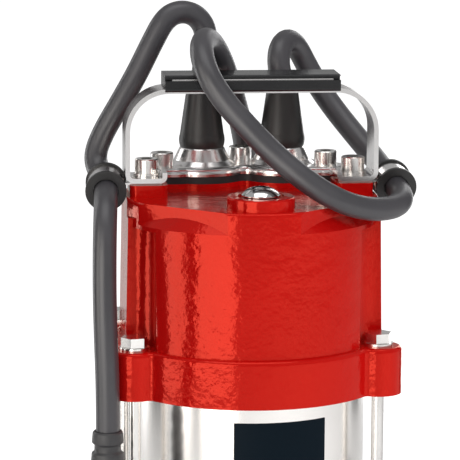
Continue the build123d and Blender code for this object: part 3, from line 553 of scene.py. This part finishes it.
# %% The pump's finishes
red_paint = finish_of(
    "red_paint",
    (0.57, 0.0050, 0.0045),
    (0.52, 0.0042, 0.0038),
    rough=(0.08, 0.12),
    metal=0.2,
    specular=0.25,
    effect=peel_tree,
    bump=0.42,
    bump_depth=0.0009,
)
red_shader = red_paint.node_tree.nodes["Principled BSDF"]
red_shader.inputs["Specular Tint"].default_value = (1.0, 0.85, 0.5, 1)
graphite_paint = finish_of(
    "graphite_paint",
    (0.035, 0.037, 0.040),
    (0.028, 0.030, 0.033),
    rough=(0.32, 0.42),
    coat=0.15,
    effect=peel_tree,
    bump=0.5,
    bump_depth=0.0008,
)
tube_steel = finish_of(
    "tube_steel",
    (0.93, 0.90, 0.87),
    (0.88, 0.85, 0.82),
    rough=(0.14, 0.22),
    metal=1.0,
    effect=brush_tree,
    settings=[("Along", 5.0), ("Across", 420.0)],
    bump=0.05,
    bump_depth=0.0001,
)
plate_steel = finish_of(
    "plate_steel",
    (0.92, 0.90, 0.89),
    (0.86, 0.84, 0.83),
    rough=(0.16, 0.26),
    metal=1.0,
    bump=0.05,
    bump_depth=0.0001,
)
bolt_steel = finish_of(
    "bolt_steel",
    (0.90, 0.88, 0.85),
    (0.76, 0.74, 0.72),
    rough=(0.18, 0.3),
    metal=1.0,
    bump=0.08,
    bump_depth=0.0001,
)
vent_chrome = finish_of(
    "vent_chrome",
    (0.85, 0.85, 0.85),
    (0.80, 0.80, 0.80),
    rough=(0.06, 0.1),
    metal=1.0,
    bump=0.02,
    bump_depth=0.0001,
)
ground_steel = finish_of(
    "ground_steel",
    (0.62, 0.62, 0.63),
    (0.55, 0.55, 0.56),
    rough=(0.15, 0.25),
    metal=1.0,
    effect=brush_tree,
)
sheet_stack = finish_of(
    "sheet_stack",
    (0.22, 0.22, 0.23),
    (0.16, 0.16, 0.17),
    rough=(0.4, 0.55),
    metal=1.0,
    effect=brush_tree,
    settings=[("Along", 2.0), ("Across", 2200.0)],
    bump=0.6,
    bump_depth=0.0003,
)
copper_wire = finish_of(
    "copper_wire",
    (0.60, 0.22, 0.08),
    (0.42, 0.13, 0.04),
    rough=(0.25, 0.4),
    metal=1.0,
    effect=brush_tree,
    settings=[("Along", 30.0), ("Across", 900.0)],
    bump=0.8,
    bump_depth=0.0006,
)
cast_aluminium = finish_of(
    "cast_aluminium",
    (0.62, 0.62, 0.63),
    (0.52, 0.52, 0.53),
    rough=(0.35, 0.5),
    metal=1.0,
    bump=0.4,
    bump_depth=0.0003,
)
seal_rubber = finish_of(
    "seal_rubber",
    (0.016, 0.016, 0.017),
    (0.024, 0.024, 0.025),
    rough=(0.5, 0.65),
    bump=0.3,
)
boot_rubber = finish_of(
    "boot_rubber",
    (0.016, 0.015, 0.015),
    (0.022, 0.021, 0.020),
    rough=(0.34, 0.46),
    bump=0.3,
)
grip_rubber = finish_of(
    "grip_rubber",
    (0.008, 0.008, 0.009),
    (0.012, 0.012, 0.013),
    rough=(0.18, 0.28),
    bump=0.2,
)
cable_rubber = finish_of(
    "cable_rubber",
    (0.040, 0.038, 0.043),
    (0.050, 0.047, 0.053),
    rough=(0.34, 0.44),
    specular=0.75,
    settings=[("Scale", 1500.0)],
    bump=0.35,
    bump_depth=0.00015,
)
moulded_black = finish_of(
    "moulded_black",
    (0.030, 0.030, 0.032),
    (0.038, 0.038, 0.040),
    rough=(0.4, 0.5),
    settings=[("Scale", 1400.0)],
    bump=0.35,
    bump_depth=0.00015,
)
float_plastic = finish_of(
    "float_plastic",
    (0.040, 0.039, 0.041),
    (0.048, 0.047, 0.049),
    rough=(0.42, 0.52),
    settings=[("Scale", 1100.0)],
    bump=0.45,
    bump_depth=0.0002,
)
seal_carbon = finish_of("seal_carbon", (0.05, 0.05, 0.055), rough=(0.2, 0.3))
label_film = finish_of(
    "label_film",
    (0.0008, 0.006, 0.0115),
    rough=(0.45, 0.5),
    specular=0.1,
    bump=0.05,
)
terminal_plastic = finish_of("terminal_plastic", (0.62, 0.62, 0.58), (0.55, 0.55, 0.5), rough=(0.35, 0.45))

# %% [markdown]
# ## Dress the CAD nodes
# The castings, the steel and the fasteners keep their CAD shape and get a finish each. The record
# already groups the nodes by what they are made of, so one table from slot to finish is enough.

# %% Dress the nodes
slot_finishes = {
    "red_paint": red_paint,
    "dark_paint": graphite_paint,
    "stainless": plate_steel,
    "fastener_steel": bolt_steel,
    "vent_chrome": vent_chrome,
    "bearing_steel": ground_steel,
    "core_steel": sheet_stack,
    "copper": copper_wire,
    "bare_aluminium": cast_aluminium,
    "rubber_seal": seal_rubber,
    "boot_rubber": boot_rubber,
    "cord_rubber": cable_rubber,
    "seal_carbon": seal_carbon,
    "impeller_plastic": moulded_black,
    "outlet_plastic": moulded_black,
    "float_plastic": float_plastic,
    "ball_steel": vent_chrome,
    "label": label_film,
    "terminal_plastic": terminal_plastic,
}
for entry in frame["record"]["subparts"]:
    dressed = nodes[entry["node"]]
    if not dressed.material_slots:
        dressed.data.materials.append(slot_finishes[entry["material_slot"]])
    for place in dressed.material_slots:
        place.material = slot_finishes[entry["material_slot"]]
for place in nodes["motor_tube"].material_slots:
    place.material = tube_steel
for place in nodes["handle_grip"].material_slots:
    place.material = grip_rubber


def round_edges(target, width, segments, sharpest):
    """Small roundings, width in millimetres, on edges that turn by more than an angle in degrees."""
    rounding = target.modifiers.new("rounding", "BEVEL")
    rounding.width = width * MM
    rounding.segments = segments
    rounding.limit_method = "ANGLE"
    rounding.angle_limit = math.radians(sharpest)


for name, width in (("handle_grip", 1.2), ("head_cover", 0.9), ("handle_strap", 0.35), ("outlet_elbow", 0.6)):
    round_edges(nodes[name], width, 3, 38)
relief_mesh.materials.append(float_plastic)
round_edges(relief, 0.3, 2, 35)
for piece in (float_cable, hanging_cable, mains_cable):
    piece.data.materials.append(cable_rubber)
print("dressed", len(nodes), "nodes")
